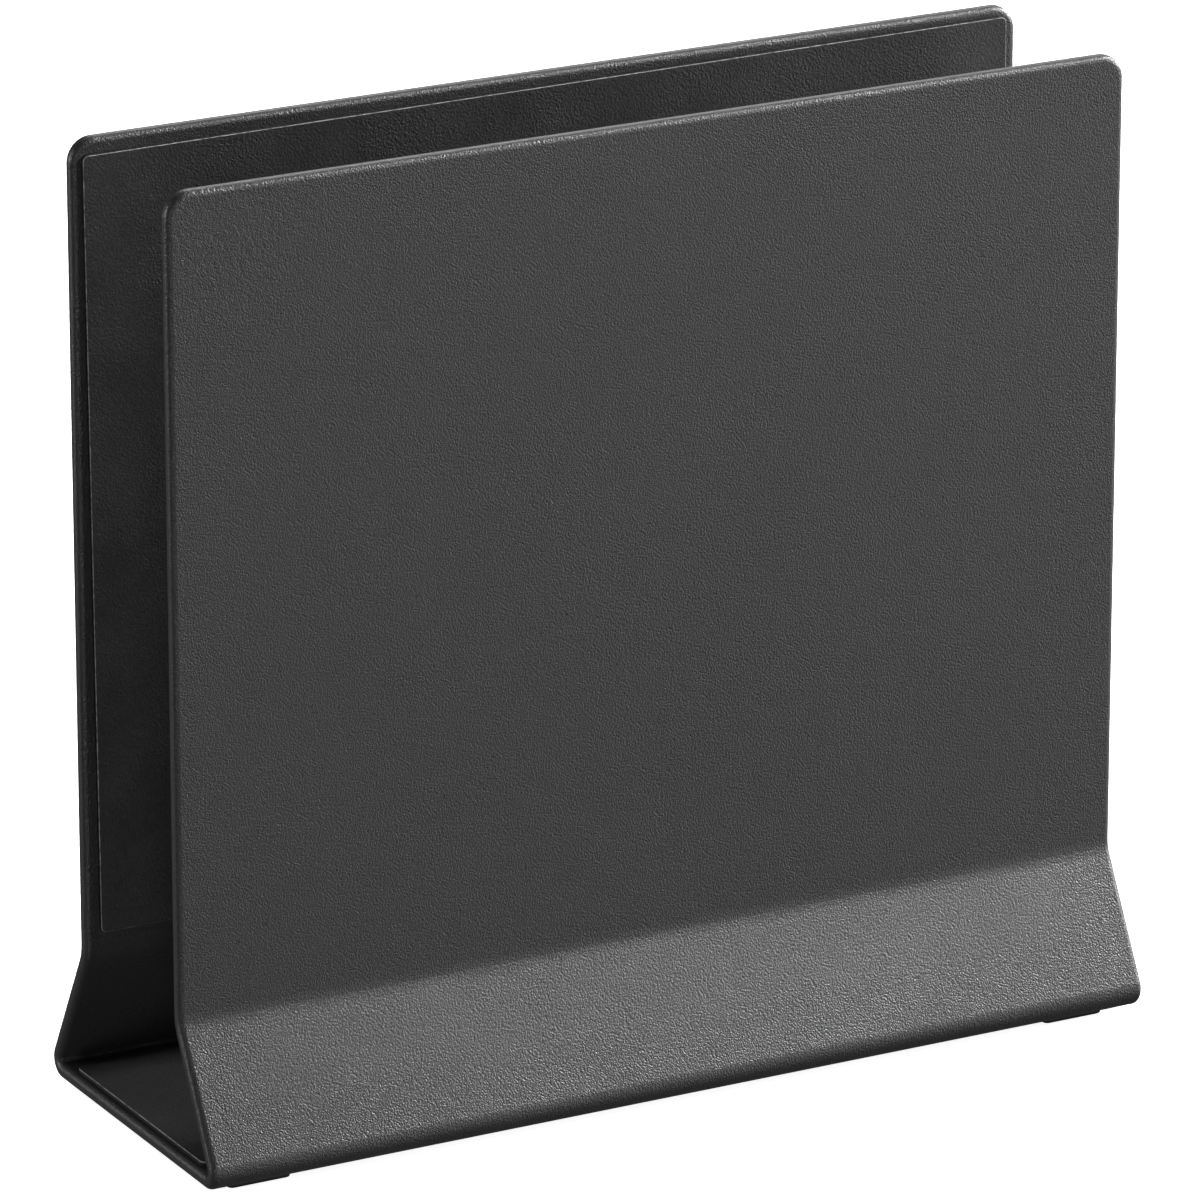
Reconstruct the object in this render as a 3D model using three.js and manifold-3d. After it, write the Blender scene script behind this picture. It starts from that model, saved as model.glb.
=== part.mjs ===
// Open napkin holder: a folded sheet-steel channel with a flared foot, lined
// inside with thin sheets and standing on four thin pads.
//
// Millimetres, +Z up. X runs along the width, Y from the front (-) to the
// rear (+). The origin is on the table, under the middle of the holder.

import * as THREE from 'three';
import { mergeVertices } from 'three/addons/utils/BufferGeometryUtils.js';
import Module from 'manifold-3d';

const wasm = await Module();
wasm.setup();

// Folded body
const WIDTH = 150; // along X
const BODY_HEIGHT = 141; // underside of the base to the top of the walls
const WALL_SPAN = 32.2; // between the outer faces of the two walls
const SHEET = 2.2; // steel with its coating
const FLARE_HEIGHT = 21.8; // underside of the base to the knee of the wall
const FLARE_ANGLE = THREE.MathUtils.degToRad( 28.5 ); // away from vertical
const BASE_BEND = 2.8; // outer radius where the flare turns into the base
const KNEE_BEND = 5.5; // outer-face radius where the wall turns into the flare
const CORNER = 3.7; // radius of the walls' top corners
const ARC_STEPS = 8; // segments in each half of a bend or corner

// Liners: a thin sheet on an adhesive film
const FILM = 0.15;
const LINER = 0.75;
const LINER_CORNER = 0.8;
const FILM_MARGIN = 0.4; // film stops this far inside the sheet's edge
const WALL_LINER = { width: 146.4, height: 113.4, topGap: 1.9 };
const BASE_LINER = { width: 148.4, depth: 40.4, shift: - 1 };
const REAR_SKEW = THREE.MathUtils.degToRad( 0.33 ); // laid by hand, not quite square
const FRONT_SKEW = THREE.MathUtils.degToRad( - 0.15 );

// Pads under the base
const FOOT_SIZE = 9.7;
const FOOT_PAD = 0.85;
const FOOT_CORNER = 0.9;
const FOOT_LEFT_X = - 66;
const FOOT_RIGHT_X = 65.3;
const FOOT_EDGE_Y = 22.7; // outer edge of each pad, from the middle

const FOOT_HEIGHT = FOOT_PAD + FILM;
const TOP = FOOT_HEIGHT + BODY_HEIGHT;
const FLOOR = FOOT_HEIGHT + SHEET; // inner face of the base
const INNER_WALL = WALL_SPAN / 2 - SHEET; // inner face of each wall, from the middle

const MATERIALS = {
	coat: { color: 0x363637, roughness: 0.43, metalness: 0 },
	liner: { color: 0x353535, roughness: 0.52, metalness: 0 },
	film: { color: 0x2c2c2e, roughness: 0.4, metalness: 0 },
	pad: { color: 0x161616, roughness: 0.9, metalness: 0 },
};

function makeMesh( name, geometry, finish ) {

	const mesh = new THREE.Mesh( geometry, new THREE.MeshStandardMaterial( MATERIALS[ finish ] ) );
	mesh.name = name;
	return mesh;

}

// Solid modelling helpers

function toSolid( geometry ) {

	const bare = geometry.clone();
	bare.deleteAttribute( 'normal' );
	bare.deleteAttribute( 'uv' );
	const merged = mergeVertices( bare );
	return new wasm.Manifold( new wasm.Mesh( {
		numProp: 3,
		vertProperties: new Float32Array( merged.attributes.position.array ),
		triVerts: new Uint32Array( merged.index.array ),
	} ) );

}

function toGeometry( solid ) {

	const cut = solid.getMesh();
	const geometry = new THREE.BufferGeometry();
	geometry.setAttribute( 'position', new THREE.BufferAttribute( cut.vertProperties, 3 ) );
	geometry.setIndex( new THREE.BufferAttribute( cut.triVerts, 1 ) );
	geometry.computeVertexNormals();
	return geometry;

}

// Rounds the polyline's inner corners and adds it to a shape, from its first
// point to its last. Each corner is [ x, y, radius ]; the two ends are sharp.
function addRoundedRun( shape, corners ) {

	const points = corners.map( ( [ x, y ] ) => new THREE.Vector2( x, y ) );

	corners.forEach( ( [ , , radius ], i ) => {

		if ( ! radius ) {

			shape.lineTo( points[ i ].x, points[ i ].y );
			return;

		}

		const arrive = points[ i ].clone().sub( points[ i - 1 ] ).normalize();
		const leave = points[ i + 1 ].clone().sub( points[ i ] ).normalize();
		const turn = Math.atan2( arrive.cross( leave ), arrive.dot( leave ) );
		const side = Math.sign( turn );
		const start = points[ i ].clone().addScaledVector( arrive, - radius * Math.tan( Math.abs( turn ) / 2 ) );
		const centre = start.clone().add( new THREE.Vector2( - arrive.y, arrive.x ).multiplyScalar( side * radius ) );
		const from = Math.atan2( start.y - centre.y, start.x - centre.x );
		shape.absarc( centre.x, centre.y, radius, from, from + turn, side < 0 );

	} );

}

// Folded body

// Corners of the surface that lies a given depth inside the sheet's outer
// face, as ( y, z ) from the top of the front wall to the top of the rear one.
function foldCorners( depth, top ) {

	const wall = WALL_SPAN / 2 - depth;
	const knee = FOOT_HEIGHT + FLARE_HEIGHT - depth * Math.tan( FLARE_ANGLE / 2 );
	const base = FOOT_HEIGHT + depth;
	const foot = wall + ( knee - base ) * Math.tan( FLARE_ANGLE );
	return [
		[ - wall, top, 0 ],
		[ - wall, knee, KNEE_BEND + depth ],
		[ - foot, base, BASE_BEND - depth ],
		[ foot, base, BASE_BEND - depth ],
		[ wall, knee, KNEE_BEND + depth ],
		[ wall, top, 0 ],
	];

}

// The folded section as a long bar, a little longer and taller than the body.
function foldedBar( overrun ) {

	const outer = foldCorners( 0, TOP + overrun );
	const inner = foldCorners( SHEET, TOP + overrun ).reverse();
	const section = new THREE.Shape();
	section.moveTo( outer[ 0 ][ 0 ], outer[ 0 ][ 1 ] );
	addRoundedRun( section, outer );
	addRoundedRun( section, inner );
	const bar = new THREE.ExtrudeGeometry( section, {
		depth: WIDTH + 2 * overrun,
		bevelEnabled: false,
		curveSegments: ARC_STEPS,
	} );
	bar.translate( 0, 0, - WIDTH / 2 - overrun );
	return bar.applyMatrix4( new THREE.Matrix4().makeBasis(
		new THREE.Vector3( 0, 1, 0 ),
		new THREE.Vector3( 0, 0, 1 ),
		new THREE.Vector3( 1, 0, 0 ),
	) );

}

// Front view of the body: square at the base, rounded at the top corners.
function frontOutline( overrun ) {

	const half = WIDTH / 2;
	const depth = 2 * WALL_SPAN;
	const outline = new THREE.Shape();
	outline.moveTo( - half, - overrun );
	outline.lineTo( half, - overrun );
	outline.lineTo( half, TOP - CORNER );
	outline.absarc( half - CORNER, TOP - CORNER, CORNER, 0, Math.PI / 2, false );
	outline.lineTo( CORNER - half, TOP );
	outline.absarc( CORNER - half, TOP - CORNER, CORNER, Math.PI / 2, Math.PI, false );
	const block = new THREE.ExtrudeGeometry( outline, {
		depth,
		bevelEnabled: false,
		curveSegments: ARC_STEPS,
	} );
	block.translate( 0, 0, - depth / 2 );
	return block.rotateX( Math.PI / 2 );

}

function makeBody() {

	const overrun = 2;
	const solid = toSolid( foldedBar( overrun ) ).intersect( toSolid( frontOutline( overrun ) ) );
	return makeMesh( 'body_sheet', toGeometry( solid ), 'coat' );

}

// Liners and pads

// A flat plate on z = 0, centred on the origin, with rounded corners.
function plate( width, height, corner, thickness ) {

	const x = width / 2;
	const y = height / 2;
	const quarter = Math.PI / 2;
	const outline = new THREE.Shape();
	outline.moveTo( x, corner - y );
	outline.absarc( x - corner, y - corner, corner, 0, quarter, false );
	outline.absarc( corner - x, y - corner, corner, quarter, 2 * quarter, false );
	outline.absarc( corner - x, corner - y, corner, 2 * quarter, 3 * quarter, false );
	outline.absarc( x - corner, corner - y, corner, 3 * quarter, 4 * quarter, false );
	return new THREE.ExtrudeGeometry( outline, {
		depth: thickness,
		bevelEnabled: false,
		curveSegments: 3,
	} );

}

// A sheet on its adhesive film. The film lies on the group's z = 0 plane.
function stuckSheet( name, { width, height, corner, thickness, finish } ) {

	const trim = 2 * FILM_MARGIN;
	const film = makeMesh(
		`${ name }_adhesive`,
		plate( width - trim, height - trim, corner / 2, FILM ),
		'film',
	);
	const sheet = makeMesh( name, plate( width, height, corner, thickness ), finish );
	sheet.position.z = FILM;
	const group = new THREE.Group();
	group.add( film, sheet );
	return group;

}

function makeWallLiner( name, side, skew ) {

	const { width, height, topGap } = WALL_LINER;
	const liner = stuckSheet( name, {
		width,
		height,
		corner: LINER_CORNER,
		thickness: LINER,
		finish: 'liner',
	} );
	// The film faces the wall: +Z of the liner looks towards the other wall.
	liner.rotation.set( side * Math.PI / 2, 0, skew );
	liner.position.set( 0, side * INNER_WALL, TOP - topGap - height / 2 );
	return liner;

}

function makeBaseLiner() {

	const liner = stuckSheet( 'base_liner', {
		width: BASE_LINER.width,
		height: BASE_LINER.depth,
		corner: LINER_CORNER,
		thickness: LINER,
		finish: 'liner',
	} );
	liner.position.set( 0, BASE_LINER.shift, FLOOR );
	return liner;

}

function makeFoot( name, x, side ) {

	const foot = stuckSheet( name, {
		width: FOOT_SIZE,
		height: FOOT_SIZE,
		corner: FOOT_CORNER,
		thickness: FOOT_PAD,
		finish: 'pad',
	} );
	foot.rotation.x = Math.PI;
	foot.position.set( x, side * ( FOOT_EDGE_Y - FOOT_SIZE / 2 ), FOOT_HEIGHT );
	return foot;

}

const holder = new THREE.Group();
holder.add(
	makeBody(),
	makeWallLiner( 'rear_liner', 1, REAR_SKEW ),
	makeWallLiner( 'front_liner', - 1, FRONT_SKEW ),
	makeBaseLiner(),
	makeFoot( 'foot_front_left', FOOT_LEFT_X, - 1 ),
	makeFoot( 'foot_front_right', FOOT_RIGHT_X, - 1 ),
	makeFoot( 'foot_rear_left', FOOT_LEFT_X, 1 ),
	makeFoot( 'foot_rear_right', FOOT_RIGHT_X, 1 ),
);

export default holder;
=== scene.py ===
"""Looks of the open napkin holder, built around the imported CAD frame. Units are metres."""

import math

import bpy
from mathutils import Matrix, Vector


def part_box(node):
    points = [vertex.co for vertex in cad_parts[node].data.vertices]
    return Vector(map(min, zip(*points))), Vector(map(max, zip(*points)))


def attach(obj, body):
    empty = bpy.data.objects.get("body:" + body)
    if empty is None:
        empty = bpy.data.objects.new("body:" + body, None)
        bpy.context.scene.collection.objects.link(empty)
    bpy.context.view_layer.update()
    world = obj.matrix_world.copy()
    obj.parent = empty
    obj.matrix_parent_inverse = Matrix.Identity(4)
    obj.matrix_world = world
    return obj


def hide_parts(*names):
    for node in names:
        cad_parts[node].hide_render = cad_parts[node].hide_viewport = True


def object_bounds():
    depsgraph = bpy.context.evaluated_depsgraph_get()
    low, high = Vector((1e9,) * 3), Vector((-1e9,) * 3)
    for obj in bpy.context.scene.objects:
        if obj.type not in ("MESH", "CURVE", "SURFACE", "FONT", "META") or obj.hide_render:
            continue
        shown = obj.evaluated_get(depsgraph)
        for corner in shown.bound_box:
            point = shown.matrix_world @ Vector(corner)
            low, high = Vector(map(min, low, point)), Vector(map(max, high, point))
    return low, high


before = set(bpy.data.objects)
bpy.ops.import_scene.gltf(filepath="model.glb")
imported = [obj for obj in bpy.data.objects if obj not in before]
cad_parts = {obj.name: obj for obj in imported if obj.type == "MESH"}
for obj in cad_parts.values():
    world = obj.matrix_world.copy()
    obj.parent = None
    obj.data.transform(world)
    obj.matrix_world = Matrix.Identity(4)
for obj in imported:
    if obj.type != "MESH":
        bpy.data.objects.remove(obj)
cad_low, cad_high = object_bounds()
MM = 0.001
QUARTER = math.pi / 2

# Driving dimensions of the fold that a bounding box doesn't hold
FLARE_ANGLE = math.radians(28.5)
BASE_BEND = 2.8 * MM  # outer radius between flare and base
KNEE_SWEEP = 8 * MM  # outer-face radius on both sides of the knee's crease
KNEE_CREASE = 1.2 * MM  # outer-face radius of the crease that the punch leaves
CREASE_ANGLE = math.radians(9)
WALL_CORNER = 3.7 * MM
COAT_EDGE = 0.95 * MM  # radius of the coated sheet's edges
FLAT_STEP = 6 * MM  # longest mesh row on a flat stretch
BEND_STEP = 3.5  # degrees of bend to a mesh row
FEWEST_ROWS = 6  # mesh rows in any stretch

# Stuck-on sheets
LINER_CORNER = 0.8 * MM
LINER_EDGE = 0.13 * MM
PAD_CORNER = 0.9 * MM
PAD_EDGE = 0.22 * MM
SHARPEST_CORNER = 0.02 * MM  # of a sheet's flat face, inside its rolled edge
REAR_SKEW = math.radians(0.33)
FRONT_SKEW = math.radians(-0.15)

# Coat: baked grains over a slow orange peel
COAT_TONES = (0.030, 0.040)
COAT_PEBBLE = 0.28 * MM
COAT_DUST = 0.18 * MM
COAT_RELIEF = 0.078 * MM  # depth of the grains
COAT_PATCH = 34 * MM  # patches of slightly flatter and rougher coat
COAT_PEEL = 3.5 * MM
COAT_PEEL_DEPTH = 0.03 * MM
EDGE_RELIEF = 0.25  # share of the relief that is left over the sheet's edges
LUMP = 0.7 * MM
LUMP_SHARE = 1.8  # of the relief, where the powder is thickest
LUMP_REACH = 24 * MM
LUMP_FROM_SIDE = 6 * MM
LUMP_FROM_TOP = 8 * MM

# Liners: pressed tooth over a faint cloudiness, and the cut edge round them, with a painted highlight
# along its arris
LINER_TONES = (0.026, 0.041)
LINER_TOOTH = 0.34 * MM
LINER_RELIEF = 0.14 * MM
LINER_WEAR = 14 * MM
LINER_CLOUD = 9 * MM
LINER_WAVE_DEPTH = 0.04 * MM
# the dark cut face, and the pale painted highlight along its arris
CUT_TONES = (0.010, 0.42)
# size of the breaks in the painted highlight along the arris
CUT_HIGHLIGHT_BREAKS = 1.1 * MM
CUT_ARRIS = (0.12, 0.28)  # depth in the sheet where the painted highlight along the arris starts and stops fading
CUT_WEIGHT = 0.3  # a face with more of the rim than this belongs to the cut edge

# Film and rubber
FILM_TONES = (0.02, 0.03)
FILM_BUBBLE = 1.6 * MM
PAD_TONES = (0.010, 0.020)
PAD_DUST = 1.5 * MM
PAD_GRAIN = 0.35 * MM

# Studio
TABLE_SIZE = 6.0  # half its side
TABLE_GAP = 0.01 * MM  # under the pads
TABLE_GREY = 0.9
TABLE_GLOW = 0.92
PAPER_RADIUS = 5.5
PAPER_LOW = -0.5
PAPER_HIGH = 4.0
PAPER_GLOW = 1.0
FILL = 0.066
VIEW_AZIMUTH = math.radians(-28.33)
VIEW_RISE = math.radians(18.82)
VIEW_DISTANCE = 1.3116
VIEW_SIDE = -0.36 * MM  # the camera's place beside and over the line through the middle
VIEW_UP = -3.02 * MM
LENS = 278.6  # millimetres, as Blender counts lenses
SENSOR = 36
CLIP_END = 50


# ---------------------------------------------------------------- materials

def new_material(name):
    """A material with a Principled shader, and its node tree."""
    material = bpy.data.materials.new(name)
    material.use_nodes = True
    tree = material.node_tree
    return material, tree, tree.nodes["Principled BSDF"]


def add_node(tree, kind, inputs=None, **settings):
    """A shader node with its settings, and its sockets set to values or joined to outputs."""
    node = tree.nodes.new("ShaderNode" + kind)
    for key, value in settings.items():
        setattr(node, key, value)
    for key, value in (inputs or {}).items():
        if isinstance(value, bpy.types.NodeSocket):
            tree.links.new(value, node.inputs[key])
        else:
            node.inputs[key].default_value = value
    return node


def position(tree):
    """The place on the object, turned so that no noise lines up with the flat faces."""
    place = add_node(tree, "TexCoord").outputs["Object"]
    turned = add_node(tree, "Mapping", {"Vector": place, "Rotation": (0.61, 0.37, 0.94)})
    return turned.outputs["Vector"]


def noise(tree, grain, detail=2.0, roughness=0.5):
    """Cloudy noise whose patches are about grain metres across."""
    return add_node(tree, "TexNoise", {
        "Vector": position(tree),
        "Scale": 1 / grain,
        "Detail": detail,
        "Roughness": roughness,
    }).outputs["Fac"]


def cells(tree, grain):
    """Rounded swellings about grain metres across, with sharp valleys between them."""
    away = combine(tree, "SUBTRACT", noise(tree, grain, 1.0), 0.5)
    return combine(tree, "MULTIPLY", combine(tree, "ABSOLUTE", away, 0.0), 2.0)


def pebbles(tree, grain):
    """Round bumps about grain metres across, close together."""
    bumps = add_node(tree, "TexVoronoi", {"Vector": position(tree), "Scale": 1 / grain})
    return combine(tree, "SUBTRACT", 1.0, bumps.outputs["Distance"])


def spread(tree, value, low, high, start=0.0, end=1.0):
    """Maps a value from start..end to low..high, held at both ends."""
    return add_node(tree, "MapRange", {
        "Value": value,
        "From Min": start,
        "From Max": end,
        "To Min": low,
        "To Max": high,
    }).outputs["Result"]


def cloudy(tree, grain, low, high, detail=2.0, roughness=0.5):
    """Noise between low and high, with its rare extremes held there."""
    return spread(tree, noise(tree, grain, detail, roughness), low, high, 0.3, 0.7)


def combine(tree, operation, first, second):
    return add_node(tree, "Math", {0: first, 1: second}, operation=operation).outputs[0]


def two_tone(tree, value, tones):
    """A neutral colour between a dark and a light grey level."""
    ramp = add_node(tree, "ValToRGB", {"Fac": value})
    for element, grey in zip(ramp.color_ramp.elements, tones):
        element.color = (grey, grey, grey, 1)
    return ramp.outputs["Color"]


def bump(tree, height, depth, under=None):
    """A bump of the given depth in metres for a height of 0 to 1."""
    inputs = {"Height": height, "Distance": depth, "Strength": 1.0}
    if under is not None:
        inputs["Normal"] = under
    return add_node(tree, "Bump", inputs).outputs["Normal"]


def near(tree, point, reach):
    """1 at a point of the object, falling to 0 at the given distance from it."""
    place = add_node(tree, "TexCoord").outputs["Object"]
    away = add_node(tree, "VectorMath", {0: place, 1: point}, operation="DISTANCE")
    return spread(tree, away.outputs["Value"], 1.0, 0.0, 0.0, reach)


def lump_centre():
    """Where the powder is thickest: near a top corner of the front wall's outer face."""
    low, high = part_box("body_sheet")
    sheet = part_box("base_liner_adhesive")[0].z - low.z
    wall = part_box("front_liner_adhesive")[0].y - sheet
    return low.x + LUMP_FROM_SIDE, wall, high.z - LUMP_FROM_TOP


def coat_relief(tree, edge):
    """Grains that flow out over the sheet's edges, and lumps around one corner."""
    grain = combine(tree, "ADD", pebbles(tree, COAT_PEBBLE), noise(tree, COAT_DUST))
    patches = cloudy(tree, COAT_PATCH, 0.88, 1.12, 3.0)
    flow = combine(tree, "MULTIPLY", patches, spread(tree, edge, 1.0, EDGE_RELIEF))
    thick = combine(tree, "MULTIPLY", near(tree, lump_centre(), LUMP_REACH), LUMP_SHARE)
    lumps = combine(tree, "MULTIPLY", noise(tree, LUMP), thick)
    return combine(tree, "ADD", combine(tree, "MULTIPLY", grain, flow), lumps)


def coat_material():
    """Fine-textured powder coat, slightly flatter and duller over the sheet's edges."""
    material, tree, shader = new_material("coat_finish")
    edge = add_node(tree, "Attribute", attribute_name="edge").outputs["Fac"]
    colour = cloudy(tree, 0.8 * MM, 0.0, 1.0, 4.0, 0.6)
    tree.links.new(two_tone(tree, colour, COAT_TONES), shader.inputs["Base Color"])
    sheen = cloudy(tree, 0.5 * MM, 0.27, 0.39, 3.0)
    dulled = combine(tree, "ADD", sheen, spread(tree, edge, 0.0, 0.05))
    tree.links.new(dulled, shader.inputs["Roughness"])
    peel = bump(tree, noise(tree, COAT_PEEL), COAT_PEEL_DEPTH)
    tree.links.new(bump(tree, coat_relief(tree, edge), COAT_RELIEF, peel), shader.inputs["Normal"])
    shader.inputs["Specular IOR Level"].default_value = 0.5
    return material


def liner_material():
    """Thin matt black sheet with a fine pressed tooth and a faint cloudiness."""
    material, tree, shader = new_material("liner_finish")
    fine = noise(tree, 0.7 * MM, 3.0, 0.6)
    coarse = noise(tree, LINER_CLOUD, 3.0, 0.6)
    cloud = spread(tree, combine(tree, "ADD", fine, coarse), 0.0, 1.0, 0.75, 1.25)
    tree.links.new(two_tone(tree, cloud, LINER_TONES), shader.inputs["Base Color"])
    tree.links.new(cloudy(tree, 1.2 * MM, 0.45, 0.58, 4.0), shader.inputs["Roughness"])
    wave = bump(tree, noise(tree, LINER_CLOUD), LINER_WAVE_DEPTH)
    wear = cloudy(tree, LINER_WEAR, 0.6, 1.4)
    tooth = combine(tree, "MULTIPLY", noise(tree, LINER_TOOTH, 3.0), wear)
    tree.links.new(bump(tree, tooth, LINER_RELIEF, wave), shader.inputs["Normal"])
    shader.inputs["Specular IOR Level"].default_value = 0.35
    return material


def cut_edge_material():
    """The liner's die-cut edge: a painted highlight along the arris next to its skin, broken up by
    noise, and dark below it.
    """
    material, tree, shader = new_material("cut_edge_finish")
    depth = add_node(tree, "Attribute", attribute_name="depth").outputs["Fac"]
    # painted highlight along the arris: pale next to the skin, fading with depth, broken up by noise
    arris = spread(tree, depth, 1.0, 0.0, *CUT_ARRIS)
    highlight_breaks = spread(tree, noise(tree, CUT_HIGHLIGHT_BREAKS, 4.0, 0.75), 0.15, 1.0, 0.35, 0.65)
    pale = combine(tree, "MULTIPLY", arris, highlight_breaks)
    tree.links.new(two_tone(tree, pale, CUT_TONES), shader.inputs["Base Color"])
    tree.links.new(bump(tree, noise(tree, 0.2 * MM, 3.0), 0.05 * MM), shader.inputs["Normal"])
    shader.inputs["Roughness"].default_value = 0.7
    shader.inputs["Specular IOR Level"].default_value = 0.2
    return material


def film_material():
    """Black adhesive film, slightly glossy, with small trapped bubbles."""
    material, tree, shader = new_material("film_finish")
    bubbles = spread(tree, cells(tree, FILM_BUBBLE), 0.0, 1.0, 0.1, 0.5)
    tree.links.new(two_tone(tree, bubbles, FILM_TONES), shader.inputs["Base Color"])
    tree.links.new(spread(tree, bubbles, 0.30, 0.42), shader.inputs["Roughness"])
    tree.links.new(bump(tree, bubbles, 0.02 * MM), shader.inputs["Normal"])
    return material


def pad_material():
    """Matt black anti-slip rubber with a fine pressed grain and a little dust."""
    material, tree, shader = new_material("pad_finish")
    dust = spread(tree, noise(tree, PAD_DUST, 5.0, 0.7), 0.0, 1.0, 0.4, 0.75)
    tree.links.new(two_tone(tree, dust, PAD_TONES), shader.inputs["Base Color"])
    tree.links.new(spread(tree, dust, 0.78, 0.92), shader.inputs["Roughness"])
    tree.links.new(bump(tree, cells(tree, PAD_GRAIN), 0.03 * MM), shader.inputs["Normal"])
    shader.inputs["Specular IOR Level"].default_value = 0.3
    return material


def studio_material(name, grey, glow):
    """A matt, evenly glowing white, as of a lit translucent table or paper."""
    material, _, shader = new_material(name)
    shader.inputs["Base Color"].default_value = (grey, grey, grey, 1)
    shader.inputs["Emission Color"].default_value = (1, 1, 1, 1)
    shader.inputs["Emission Strength"].default_value = glow
    shader.inputs["Roughness"].default_value = 0.9
    shader.inputs["Specular IOR Level"].default_value = 0.0
    return material


# ------------------------------------------------------- rounded flat sheets

def sheet_stations(half_width, length, corners, inner_stations, steps=10):
    """Rows across a flat sheet: (distance along it, half its width there).

    The sheet has rounded corners of the given radii at its start and its end.
    """
    first, last = corners
    angles = [QUARTER * i / steps for i in range(steps + 1)]
    start = [(first * (1 - math.cos(a)), half_width - first * (1 - math.sin(a))) for a in angles]
    end = [(length - last * (1 - math.cos(a)), half_width - last * (1 - math.sin(a))) for a in angles]
    middle = [(s, half_width) for s in inner_stations if first < s < length - last]
    return start + middle + end[::-1]


def sheet_rim(rows, columns, corners, length):
    """The sheet's boundary in order, as (row, column, outward x, outward along)."""
    last = len(rows) - 1
    half = max(width for _, width in rows)

    def outward(row, side):
        along, width = rows[row]
        for at, radius, sign in ((0, corners[0], -1), (length, corners[1], 1)):
            reach = radius - abs(along - at)
            if radius and reach > 0:
                return side * (width - half + radius) / radius, sign * reach / radius
        return side, 0.0

    rim = [(0, c, 0.0, -1.0) for c in range(1, columns)]
    rim += [(r, columns, *outward(r, 1)) for r in range(last + 1)]
    rim += [(last, c, 0.0, 1.0) for c in range(columns - 1, 0, -1)]
    rim += [(r, 0, *outward(r, -1)) for r in range(last, -1, -1)]
    return rim


class SheetMesh:
    """The growing mesh of a sheet that is laid flat and put in place point by point.

    place(x, along, height) gives a point and the three directions there: across,
    along and up out of the sheet. Height is 0 on the sheet's middle surface.
    """

    def __init__(self, place, rows, columns, thickness, edge):
        self.place = place
        self.rows = rows
        self.columns = columns
        self.thickness = thickness
        self.edge = edge
        self.vertices, self.normals, self.faces = [], [], []
        self.edges, self.depths = [], []

    def add(self, x, along, height, direction, weight):
        """One point, given inside the rolled edge. Weight is 0 on a face and 1 on the rim."""
        point, across, forward, up = self.place(x, along + self.edge, height)
        normal = across * direction[0] + forward * direction[1] + up * direction[2]
        self.vertices.append(point)
        self.normals.append(normal.normalized())
        self.edges.append(weight)
        self.depths.append(0.5 - height / self.thickness)
        return len(self.vertices) - 1

    def across(self, row, column):
        return self.rows[row][1] * (2 * column / self.columns - 1)

    def skin(self, side):
        """The points of the top (1) or bottom (-1) face, row by row."""
        height = side * self.thickness / 2
        return [[self.add(self.across(r, c), along, height, (0, 0, side), 0.0)
                 for c in range(self.columns + 1)] for r, (along, _) in enumerate(self.rows)]

    def ring(self, rim, level, lean):
        """Points round the rolled edge, where its surface leans by that angle from level."""
        out, flat = self.edge * math.cos(lean), math.cos(lean)
        height = level + self.edge * math.sin(lean)
        weight = 1 - abs(lean) / QUARTER
        return [self.add(self.across(r, c) + ox * out, self.rows[r][0] + oy * out, height,
                         (ox * flat, oy * flat, math.sin(lean)), weight) for r, c, ox, oy in rim]

    def cover(self, top, bottom):
        """Faces of the top and the bottom."""
        for r in range(len(self.rows) - 1):
            for c in range(self.columns):
                self.faces.append((top[r][c], top[r][c + 1], top[r + 1][c + 1], top[r + 1][c]))
                self.faces.append(
                    (bottom[r][c], bottom[r + 1][c], bottom[r + 1][c + 1], bottom[r][c + 1]))

    def join(self, rings):
        """Faces between rings of points, from the top of the edge to its bottom."""
        count = len(rings[0])
        for upper, lower in zip(rings, rings[1:]):
            for i in range(count):
                j = (i + 1) % count
                self.faces.append((upper[i], lower[i], lower[j], upper[j]))

    def to_object(self, name):
        mesh = bpy.data.meshes.new(name)
        mesh.from_pydata(self.vertices, [], self.faces)
        mesh.validate()
        mesh.shade_smooth()
        mesh.normals_split_custom_set_from_vertices(self.normals)
        for label, values in (("edge", self.edges), ("depth", self.depths)):
            mesh.attributes.new(label, "FLOAT", "POINT").data.foreach_set("value", values)
        piece = bpy.data.objects.new(name, mesh)
        bpy.context.collection.objects.link(piece)
        return piece


def rounded_sheet(name, width, length, thickness, edge, corner, inner_stations, place,
                  columns=48, edge_steps=7):
    """A sheet with rounded corners and rolled edges, put in place by place()."""
    inset = [max(corner - edge, SHARPEST_CORNER)] * 2
    run = length - 2 * edge
    rows = sheet_stations(width / 2 - edge, run, inset, [s - edge for s in inner_stations])
    rim = sheet_rim(rows, columns, inset, run)
    sheet = SheetMesh(place, rows, columns, thickness, edge)
    top, bottom = sheet.skin(1), sheet.skin(-1)
    sheet.cover(top, bottom)
    level = thickness / 2 - edge
    upper = [sheet.ring(rim, level, QUARTER * (1 - i / edge_steps)) for i in range(1, edge_steps + 1)]
    lower = [sheet.ring(rim, -level, -QUARTER * i / edge_steps) for i in range(edge_steps)]
    ends = [[skin[r][c] for r, c, _, _ in rim] for skin in (top, bottom)]
    sheet.join([ends[0], *upper, *lower, ends[1]])
    return sheet.to_object(name)


def finish_piece(piece, slot, nodes, *materials):
    for material in materials:
        piece.data.materials.append(material)
    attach(piece, "root")
    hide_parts(*nodes)


# ------------------------------------------------------------- folded body

body_low, body_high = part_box("body_sheet")
INNER_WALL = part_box("rear_liner_adhesive")[1].y
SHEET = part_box("base_liner_adhesive")[0].z - body_low.z
WIDTH = body_high.x - body_low.x


def tangent_length(arcs):
    """How far a symmetric run of arcs, as (radius, angle), starts before its virtual corner."""
    across = along = heading = 0.0
    for radius, angle in arcs:
        along += radius * (math.sin(heading + angle) - math.sin(heading))
        across += radius * (math.cos(heading) - math.cos(heading + angle))
        heading += angle
    return math.hypot(along, across) / 2 / math.cos(heading / 2)


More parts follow.
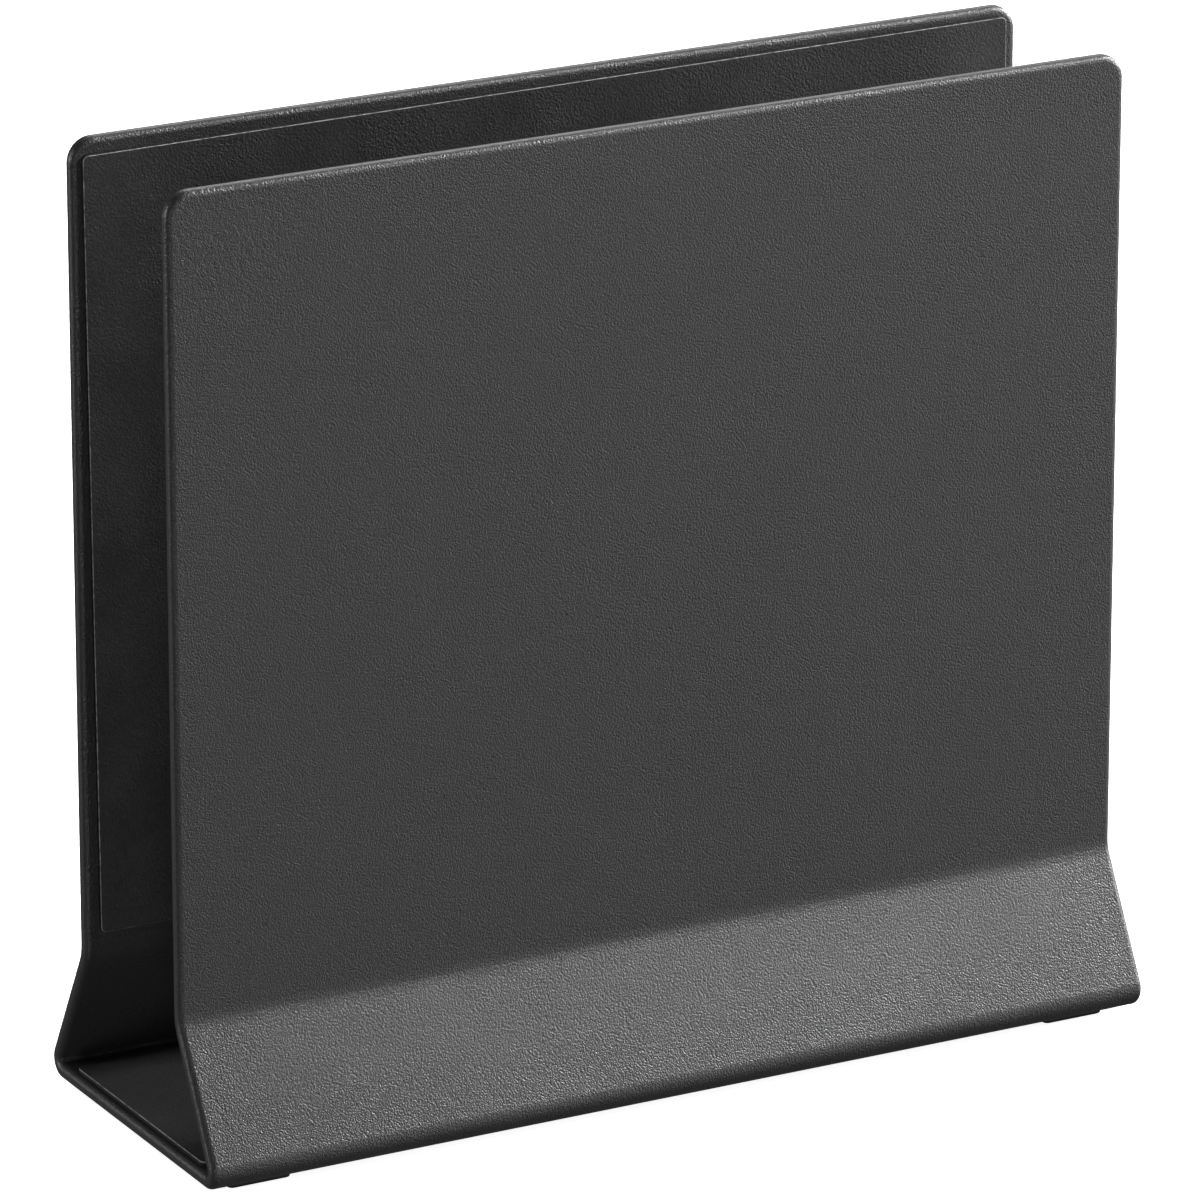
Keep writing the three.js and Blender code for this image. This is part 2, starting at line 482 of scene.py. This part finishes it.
def fold_stretches():
    """The folded sheet's middle surface as (length, turning per metre), from the front wall's top."""
    tilt = math.tan(FLARE_ANGLE)
    half = SHEET / 2
    base_turn = QUARTER + FLARE_ANGLE
    outer_corner = body_high.y - BASE_BEND + BASE_BEND * math.tan(base_turn / 2)
    corner = outer_corner - half * (tilt + 1 / math.cos(FLARE_ANGLE))
    wall = INNER_WALL + half
    knee_height = body_low.z + half + (corner - wall) / tilt
    sweep = (KNEE_SWEEP + half, (FLARE_ANGLE - CREASE_ANGLE) / 2)
    knee = (sweep, (KNEE_CREASE + half, CREASE_ANGLE), sweep)
    base = ((BASE_BEND - half, base_turn),)
    knee_cut, base_cut = tangent_length(knee), tangent_length(base)
    flare = (corner - wall) / math.sin(FLARE_ANGLE) - base_cut - knee_cut
    down = [
        (body_high.z - knee_height - knee_cut, 0.0),
        *((radius * angle, -1 / radius) for radius, angle in knee),
        (flare, 0.0),
        *((radius * angle, 1 / radius) for radius, angle in base),
    ]
    return down + [(2 * (corner - base_cut), 0.0)] + down[::-1]


STRETCHES = fold_stretches()
DEVELOPED = sum(length for length, _ in STRETCHES)


def fold(x, along, height):
    """Folds a point of the flat sheet into place. Height is towards the outer face."""
    y, z = -INNER_WALL - SHEET / 2, body_high.z
    heading = -QUARTER
    left = along
    for length, turning in STRETCHES:
        step = min(left, length)
        turned = heading + turning * step
        if turning:
            y += (math.sin(turned) - math.sin(heading)) / turning
            z -= (math.cos(turned) - math.cos(heading)) / turning
        else:
            y += math.cos(heading) * step
            z += math.sin(heading) * step
        heading = turned
        left -= step
        if left <= 0:
            break
    forward = Vector((0, math.cos(heading), math.sin(heading)))
    up = Vector((0, math.sin(heading), -math.cos(heading)))
    return Vector((-x, y, z)) + up * height, Vector((-1, 0, 0)), forward, up


def fold_stations():
    """Places along the flat sheet where it needs rows: few on flats, many on bends."""
    stations = []
    start = 0.0
    for length, turning in STRETCHES:
        turn = math.degrees(abs(length * turning))
        count = max(FEWEST_ROWS, round(length / FLAT_STEP), round(turn / BEND_STEP))
        stations += [start + length * i / count for i in range(count)]
        start += length
    return stations


def make_body():
    body = rounded_sheet(
        "folded_sheet", WIDTH, DEVELOPED, SHEET, COAT_EDGE, WALL_CORNER, fold_stations(), fold)
    finish_piece(body, "coat", ["body_sheet"], coat_material())


make_body()


# --------------------------------------------------------- liners and pads

def flat_place(centre, across, forward, length):
    """Puts a flat sheet with its middle at centre, its width along across."""
    up = across.cross(forward)

    def place(x, along, height):
        return centre + across * x + forward * (along - length / 2) + up * height, across, forward, up

    return place


def even_stations(length, count):
    return [length * i / count for i in range(1, count)]


def stuck_sheet(name, node, normal, skew, slot, corner, edge, materials, rows=24):
    """A sheet stuck flat on the body, at its CAD node's place and true, unskewed size."""
    low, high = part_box(node)
    centre = (low + high) / 2
    size = high - low
    across = Vector((1, 0, 0))
    forward = normal.cross(across)
    thickness = abs(size.dot(normal))
    box_width = size.x
    box_length = abs(size.dot(forward))
    lean = abs(skew)
    spin = math.cos(lean) ** 2 - math.sin(lean) ** 2
    width = (box_width * math.cos(lean) - box_length * math.sin(lean)) / spin
    length = (box_length * math.cos(lean) - box_width * math.sin(lean)) / spin
    turned_across = across * math.cos(skew) + forward * math.sin(skew)
    turned_forward = forward * math.cos(skew) - across * math.sin(skew)
    piece = rounded_sheet(
        name, width, length, thickness, edge, corner, even_stations(length, rows),
        flat_place(centre, turned_across, turned_forward, length), columns=rows, edge_steps=4)
    finish_piece(piece, slot, [node], *materials)
    return piece


def mark_cut_edge(piece):
    """Gives the faces round the sheet's rim the second material."""
    weights = piece.data.attributes["edge"].data
    for face in piece.data.polygons:
        if max(weights[v].value for v in face.vertices) > CUT_WEIGHT:
            face.material_index = 1


def make_liners():
    skin, cut = liner_material(), cut_edge_material()
    places = (
        ("rear_lining", "rear_liner", Vector((0, -1, 0)), REAR_SKEW),
        ("front_lining", "front_liner", Vector((0, 1, 0)), FRONT_SKEW),
        ("base_lining", "base_liner", Vector((0, 0, 1)), 0.0),
    )
    for name, node, normal, skew in places:
        liner = stuck_sheet(name, node, normal, skew, "liner", LINER_CORNER, LINER_EDGE, (skin, cut))
        mark_cut_edge(liner)


def make_pads():
    rubber = pad_material()
    for place in ("front_left", "front_right", "rear_left", "rear_right"):
        stuck_sheet(
            f"pad_{place}", f"foot_{place}", Vector((0, 0, -1)), 0.0, "pad",
            PAD_CORNER, PAD_EDGE, (rubber,), rows=10)


def finish_films():
    film = film_material()
    for name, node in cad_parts.items():
        if name.endswith("_adhesive"):
            for slot in node.material_slots:
                slot.material = film


make_liners()
make_pads()
finish_films()


# ------------------------------------------------------------------ studio

def direction(azimuth, rise):
    """The way from the middle to a place at that azimuth, from the front, and that rise."""
    level = math.cos(rise)
    return Vector((math.sin(azimuth) * level, -math.cos(azimuth) * level, math.sin(rise)))


def softbox(name, place, side, power, target):
    """A square area light that faces its target."""
    light = bpy.data.lights.new(name, "AREA")
    light.shape = "SQUARE"
    light.size = side
    light.energy = power
    lamp = bpy.data.objects.new(name, light)
    lamp.location = place
    lamp.rotation_euler = (target - place).to_track_quat("-Z", "Y").to_euler()
    bpy.context.collection.objects.link(lamp)


def stage_piece(name, vertices, faces, material):
    """A floor or backdrop that the camera sees, and that light passes through both ways."""
    mesh = bpy.data.meshes.new(name)
    mesh.from_pydata(vertices, [], faces)
    mesh.materials.append(material)
    piece = bpy.data.objects.new(name, mesh)
    bpy.context.collection.objects.link(piece)
    piece.visible_shadow = False
    piece.visible_diffuse = False
    piece.visible_glossy = False


def make_floor():
    """A pale translucent table just under the pads, lit from below."""
    height = cad_low.z - TABLE_GAP
    signs = ((-1, -1), (1, -1), (1, 1), (-1, 1))
    corners = [(x * TABLE_SIZE, y * TABLE_SIZE, height) for x, y in signs]
    finish = studio_material("floor_finish", TABLE_GREY, TABLE_GLOW)
    stage_piece("floor", corners, [(0, 1, 2, 3)], finish)


def make_backdrop(steps=96):
    """A pale drum of paper round the table, for views from low down."""
    turns = [2 * math.pi * i / steps for i in range(steps)]
    ring = [(PAPER_RADIUS * math.cos(a), PAPER_RADIUS * math.sin(a)) for a in turns]
    vertices = [(x, y, z) for z in (PAPER_LOW, PAPER_HIGH) for x, y in ring]
    faces = [(i, (i + 1) % steps, steps + (i + 1) % steps, steps + i) for i in range(steps)]
    stage_piece("backdrop", vertices, faces, studio_material("backdrop_finish", 0.0, PAPER_GLOW))


def make_world():
    """A faint even fill."""
    world = bpy.data.worlds.new("studio")
    world.use_nodes = True
    background = world.node_tree.nodes["Background"]
    background.inputs["Color"].default_value = (1, 1, 1, 1)
    background.inputs["Strength"].default_value = FILL
    bpy.context.scene.world = world


def make_camera():
    """A long lens, from the front left and a little above."""
    centre = Vector((0, 0, (cad_low.z + cad_high.z) / 2))
    back = direction(VIEW_AZIMUTH, VIEW_RISE)
    camera = bpy.data.objects.new("camera", bpy.data.cameras.new("camera"))
    camera.data.sensor_width = SENSOR
    camera.data.lens = LENS
    camera.data.clip_end = CLIP_END
    camera.rotation_euler = (-back).to_track_quat("-Z", "Y").to_euler()
    turned = camera.rotation_euler.to_matrix()
    side, up = turned @ Vector((1, 0, 0)), turned @ Vector((0, 1, 0))
    camera.location = centre + back * VIEW_DISTANCE + side * VIEW_SIDE + up * VIEW_UP
    bpy.context.collection.objects.link(camera)
    bpy.context.scene.camera = camera


def make_lights():
    """A key and a low box at the right, rims behind, and a glow through the table in front."""
    boxes = (
        # name, azimuth and rise in degrees, distance, side in metres, watts
        ("key", 80, 36, 1.5, 0.6, 41.5),
        ("key_low", 100, 15, 1.5, 0.6, 26.9),
        ("near_front", 40, 30, 0.6, 0.3, 0.86),
        ("rim_left", -120, 6, 1.5, 0.7, 9.3),
        ("rim_rear", 150, 36, 1.5, 0.6, 5.0),
        ("table_glow_left", -28, -6, 1.5, 0.5, 3.9),
        ("table_glow_front", 28, -6, 1.5, 0.5, 3.2),
        ("table_glow_right", 70, -6, 1.5, 0.5, 5.1),
    )
    middle = Vector((0, 0, 0.07))
    for name, azimuth, rise, distance, side, watts in boxes:
        away = direction(math.radians(azimuth), math.radians(rise))
        softbox(name, middle + away * distance, side, watts, middle)


make_floor()
make_backdrop()
make_world()
make_camera()
make_lights()
bpy.context.scene.view_settings.view_transform = "Standard"
